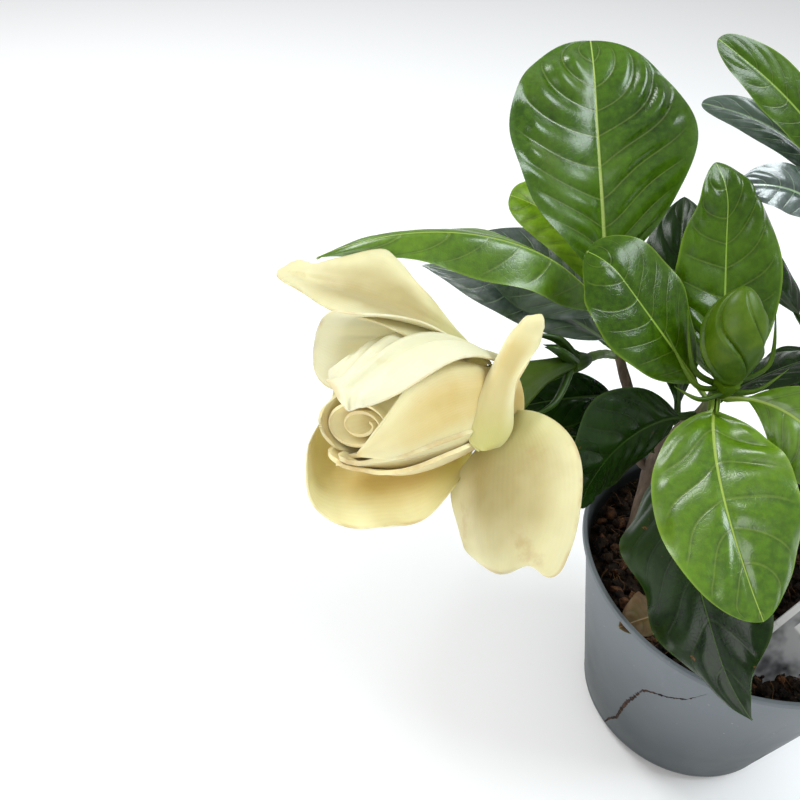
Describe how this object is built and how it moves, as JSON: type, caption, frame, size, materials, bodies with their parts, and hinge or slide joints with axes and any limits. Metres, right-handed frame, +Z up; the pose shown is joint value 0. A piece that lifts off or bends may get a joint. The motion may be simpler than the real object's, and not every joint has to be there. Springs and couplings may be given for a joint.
{
  "type": "potted gardenia",
  "caption": "Small evergreen shrub with glossy leaves, an open double cream flower and a closed bud, growing in a thin round nursery pot.",
  "frame": {"origin": "middle of the pot's flat underside", "axes": "+Z up; the open flower leans out towards -X and the plant's front is -Y"},
  "size_m": [0.2998, 0.2109, 0.2845],
  "materials": {
    "pot_plastic": "thin moulded plastic, dull with a soft sheen",
    "potting_soil": "dark crumbly potting mix with brown fibres",
    "woody_stem": "grey-brown bark, matt",
    "green_stem": "young green stem, slightly glossy",
    "leaf_green": "glossy leaf with sunken veins",
    "leaf_dark": "old dark leaf, glossy",
    "leaf_young": "young pale leaf, glossy",
    "leaf_dry": "dried curled leaf, dull",
    "petal_cream": "soft cream petal, satin",
    "petal_ivory": "soft ivory petal, satin",
    "flower_green": "yellow-green tube and calyx",
    "bud_green": "yellow-green bud, satin",
    "label_plastic": "white plastic with grey print"
  },
  "bodies": {
    "root": {"pot": "pot_plastic", "soil": "potting_soil", "plant_label": "label_plastic", "stem_front": "woody_stem", "stem_left": "woody_stem", "stem_back": "woody_stem", "stem_right": "woody_stem", "flower_stalk": "green_stem", "leaf_left": "leaf_green", "leaf_behind_bud": "leaf_green", "leaf_front": "leaf_green", "leaf_right": "leaf_green", "leaf_right_grey": "leaf_dark", "leaf_over_rim": "leaf_dark", "leaf_low_left": "leaf_dark", "leaf_round": "leaf_green", "leaf_arching": "leaf_green", "leaf_slate": "leaf_dark", "leaf_slate_back": "leaf_dark", "leaf_pale": "leaf_young", "leaf_dark_back": "leaf_dark", "leaf_under_flower": "leaf_dark", "leaf_under_flower_low": "leaf_dark", "leaf_far_bright": "leaf_green", "leaf_far_grey": "leaf_dark", "leaf_far_brown": "leaf_dark", "leaf_far_new": "leaf_young", "leaf_back_tall": "leaf_green", "leaf_back_out": "leaf_green", "leaf_back_right": "leaf_green", "leaf_back_low": "leaf_dark", "leaf_back_shade": "leaf_dark", "leaf_back_side": "leaf_green", "leaf_side_tall": "leaf_green", "leaf_side_out": "leaf_green", "leaf_side_front": "leaf_green", "leaf_side_inner": "leaf_young", "leaf_side_low": "leaf_green", "leaf_side_back": "leaf_green", "leaf_curled": "leaf_dry", "petal_top_left": "petal_cream", "petal_right_down": "petal_cream", "petal_left_down": "petal_cream", "petal_right_fold": "petal_cream", "petal_under": "petal_cream", "petal_far_left": "petal_ivory", "petal_inner_top": "petal_ivory", "petal_inner_front": "petal_ivory", "petal_inner_low": "petal_ivory", "petal_inner_back": "petal_ivory", "petal_rim_low": "petal_ivory", "petal_scroll": "petal_ivory", "corolla_tube": "flower_green", "flower_calyx": "flower_green", "bud": "bud_green", "bud_calyx": "bud_green"}
  },
  "joints": []
}
